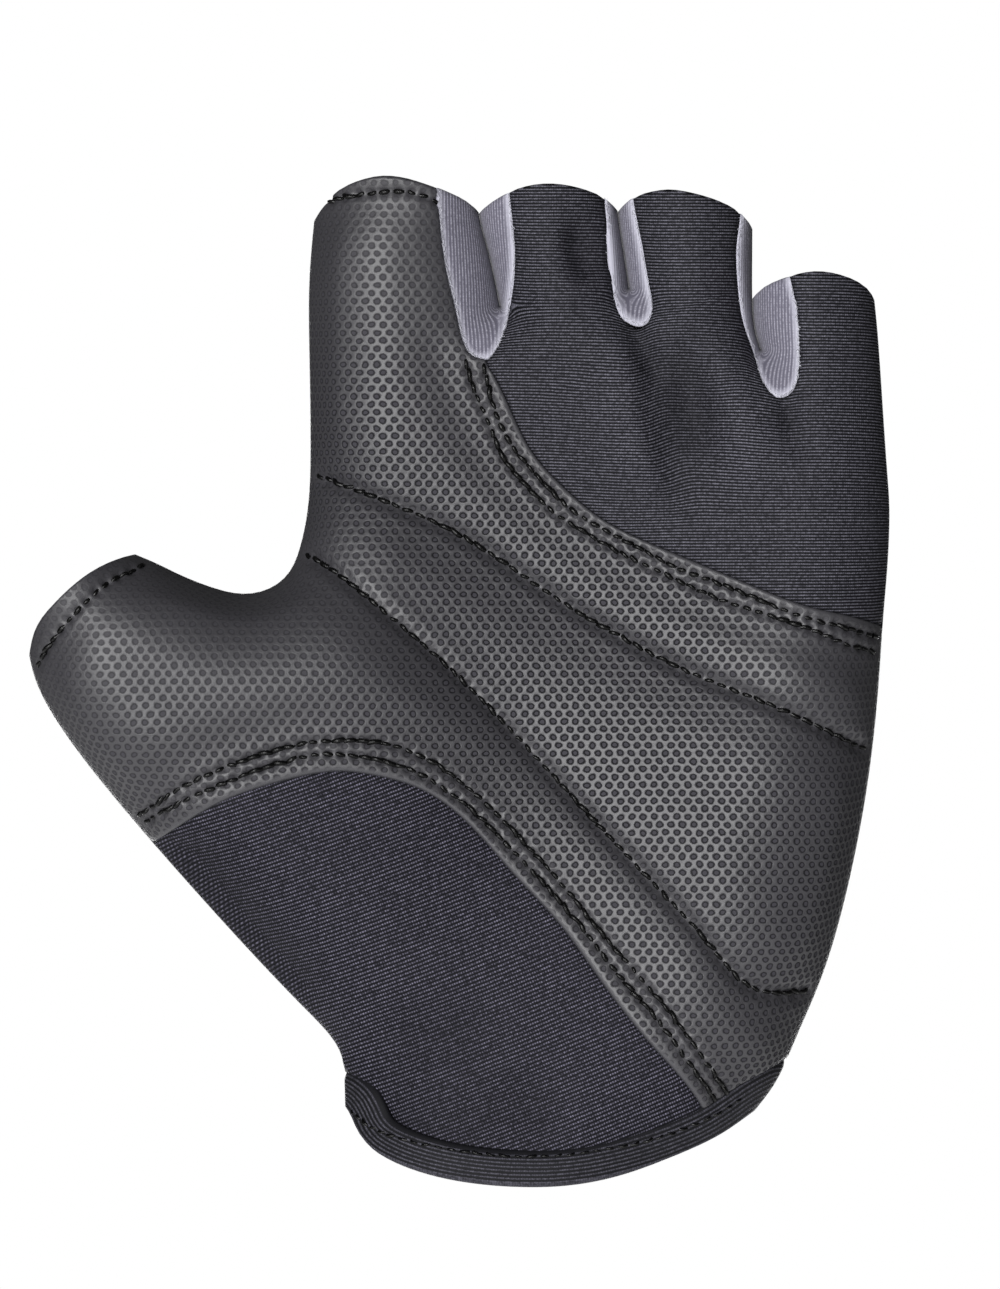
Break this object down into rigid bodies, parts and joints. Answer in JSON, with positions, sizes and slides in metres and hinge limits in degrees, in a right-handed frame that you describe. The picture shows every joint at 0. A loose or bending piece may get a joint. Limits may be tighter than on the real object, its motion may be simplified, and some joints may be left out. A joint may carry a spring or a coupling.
{
  "type": "cycling glove",
  "caption": "Left-hand short-finger cycling glove, filled out as worn: padded dimpled leather palm, ribbed knit panels, pale strips between the fingers, bound wrist.",
  "frame": {"origin": "the middle of the wrist opening, where the glove is put on and held up", "axes": "+Z from the wrist to the finger ends, -Y out of the palm, -X to the thumb's side"},
  "size_m": [0.1379, 0.0456, 0.1609],
  "materials": {
    "palm_leather": "embossed dimples, satin",
    "knit": "ribbed knit, matt",
    "fourchette": "ribbed stretch fabric, matt",
    "binding": "ribbed tape, matt",
    "back": "plain knit, matt"
  },
  "bodies": {
    "root": {"palm_leather": "palm_leather", "finger_knit": "knit", "thenar_knit": "knit", "fourchette_index_middle": "fourchette", "fourchette_middle_ring": "fourchette", "fourchette_ring_little": "fourchette", "wrist_binding": "binding", "back_panel": "back"}
  },
  "joints": []
}
